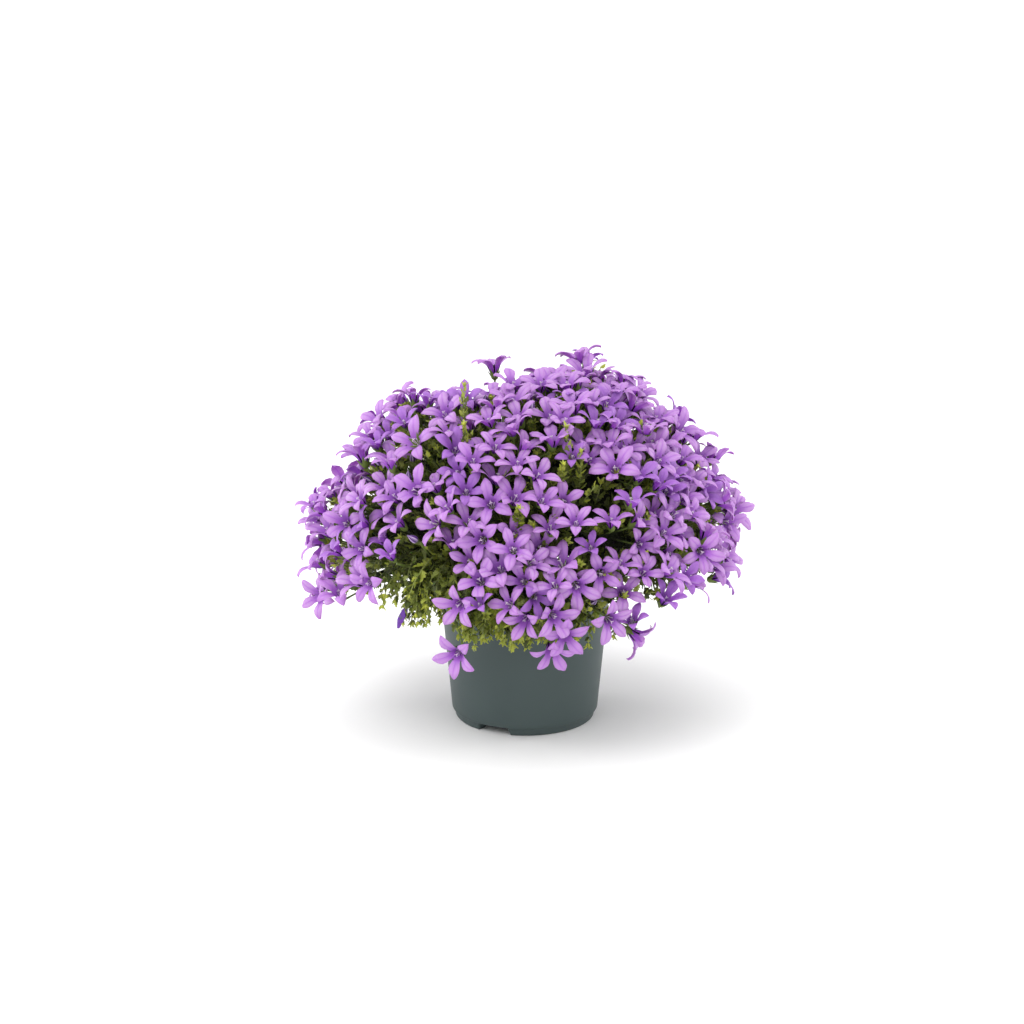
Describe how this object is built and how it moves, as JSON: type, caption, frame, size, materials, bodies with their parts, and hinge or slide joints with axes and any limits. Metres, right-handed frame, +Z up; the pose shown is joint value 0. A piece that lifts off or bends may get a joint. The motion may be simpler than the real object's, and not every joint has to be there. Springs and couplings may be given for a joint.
{
  "type": "potted bellflower",
  "caption": "Low domed bellflower in full bloom, standing in a flared round nursery pot with three broad feet.",
  "frame": {"origin": "on the pot's axis, on the surface that its feet stand on", "axes": "+Z up, -Y the front that the picture faces, +X to the right as seen from the front"},
  "size_m": [0.3184, 0.2902, 0.2584],
  "materials": {
    "pot_plastic": "smooth grey-green moulded plastic",
    "peat": "damp crumbly peat",
    "foliage": "soft toothed leaves",
    "petals": "thin satin petals"
  },
  "bodies": {
    "root": {"pot": "pot_plastic", "soil": "peat", "leafy_shoot_01": "foliage", "leafy_shoot_02": "foliage", "leafy_shoot_03": "foliage", "leafy_shoot_04": "foliage", "leafy_shoot_05": "foliage", "leafy_shoot_06": "foliage", "leafy_shoot_07": "foliage", "leafy_shoot_08": "foliage", "leafy_shoot_09": "foliage", "leafy_shoot_10": "foliage", "leafy_shoot_11": "foliage", "leafy_shoot_12": "foliage", "leafy_shoot_13": "foliage", "leafy_shoot_14": "foliage", "bell_spray_01": "petals", "bell_spray_02": "petals", "bell_spray_03": "petals", "bell_spray_04": "petals", "bell_spray_05": "petals", "bell_spray_06": "petals", "bell_spray_07": "petals", "bell_spray_08": "petals", "bell_spray_09": "petals", "bell_spray_10": "petals", "bell_spray_11": "petals", "bell_spray_12": "petals", "bell_spray_13": "petals", "bell_spray_14": "petals", "bell_spray_15": "petals", "bell_spray_16": "petals", "bell_spray_17": "petals", "bell_spray_18": "petals", "bell_spray_19": "petals", "bell_spray_20": "petals", "bell_spray_21": "petals", "bell_spray_22": "petals", "bell_spray_23": "petals", "bell_spray_24": "petals", "bell_spray_25": "petals", "bell_spray_26": "petals", "bell_spray_27": "petals", "bell_spray_28": "petals", "bell_spray_29": "petals", "bell_spray_30": "petals", "bell_spray_31": "petals", "bell_spray_32": "petals", "bell_spray_33": "petals", "bell_spray_34": "petals", "bell_spray_35": "petals", "bell_spray_36": "petals", "bell_spray_37": "petals", "bell_spray_38": "petals", "bell_spray_39": "petals", "bell_spray_40": "petals"}
  },
  "joints": []
}
